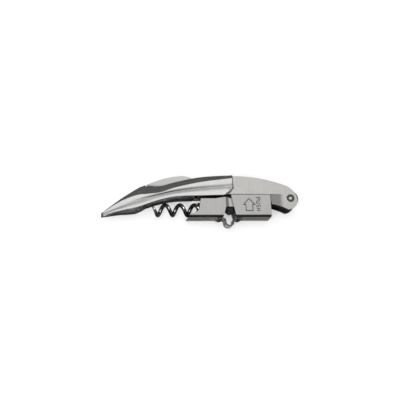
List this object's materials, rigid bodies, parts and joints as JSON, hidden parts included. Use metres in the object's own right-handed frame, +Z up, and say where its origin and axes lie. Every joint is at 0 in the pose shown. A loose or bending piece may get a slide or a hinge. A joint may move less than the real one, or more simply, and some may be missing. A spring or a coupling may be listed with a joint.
{
  "type": "lever corkscrew",
  "caption": "Folding stepped lever corkscrew with a faceted cast beak grip, brushed side plates, a hinged sheet lever, a folding worm and a foil blade.",
  "frame": {"origin": "under the middle of the folded tool, on the surface that it lies on", "axes": "+X along the handle from the beak to the tail, +Y towards the back of the handle (away from the lever), +Z up from the far side plate to the near one"},
  "size_m": [0.1216, 0.0324, 0.013],
  "materials": {
    "chrome_casting": "polished plated casting",
    "brushed_sheet": "brushed",
    "plain_steel": "turned",
    "spring_steel": "bright rolled strip",
    "coated_worm": "dark glossy non-stick coating",
    "blade_steel": "fine ground",
    "brass_washer": "plain"
  },
  "bodies": {
    "handle": {"grip_shell": "chrome_casting", "side_plate_near": "brushed_sheet", "side_plate_far": "brushed_sheet", "back_spine": "plain_steel", "worm_yoke": "plain_steel", "front_spacer": "plain_steel", "frame_pins": "plain_steel", "tail_rivet": "plain_steel", "worm_pin": "plain_steel", "knife_pin": "plain_steel", "lever_spring": "spring_steel", "lever_spring_rivet": "plain_steel"},
    "rear_lever": {"rear_channel": "brushed_sheet", "tail_bush": "plain_steel", "hinge_bracket": "plain_steel", "hinge_pin": "plain_steel", "rear_spring_rivets": "plain_steel"},
    "front_lever": {"front_channel": "brushed_sheet", "front_spring_rivets": "plain_steel", "bow_spring": "spring_steel"},
    "worm_arm": {"worm": "coated_worm", "worm_hub": "coated_worm", "worm_washers": "brass_washer"},
    "knife": {"foil_blade": "blade_steel", "knife_washers": "brass_washer"}
  },
  "joints": [
    {"name": "lever_swing", "type": "hinge", "parent": "handle", "child": "rear_lever", "pos_m": [0.0556, 0.00077, 0.0065], "axis": [0, 0, 1], "range_deg": [0, 150]},
    {"name": "step_fold", "type": "hinge", "parent": "rear_lever", "child": "front_lever", "pos_m": [0.0247, -0.00282, 0.0065], "axis": [0, 0, 1], "range_deg": [0, 25], "stiffness_Nm_per_rad": 0.15, "deforming": ["bow_spring"]},
    {"name": "worm_swing", "type": "hinge", "parent": "handle", "child": "worm_arm", "pos_m": [0.0182, -0.00532, 0.0065], "axis": [0, 0, 1], "range_deg": [0, 90]},
    {"name": "knife_swing", "type": "hinge", "parent": "handle", "child": "knife", "pos_m": [0.0122, 0.01077, 0.0065], "axis": [0, 0, -1], "range_deg": [0, 140]}
  ],
  "couplings": [
    {"joint": "worm_swing", "follows": "lever_swing", "ratio": 0.6}
  ]
}
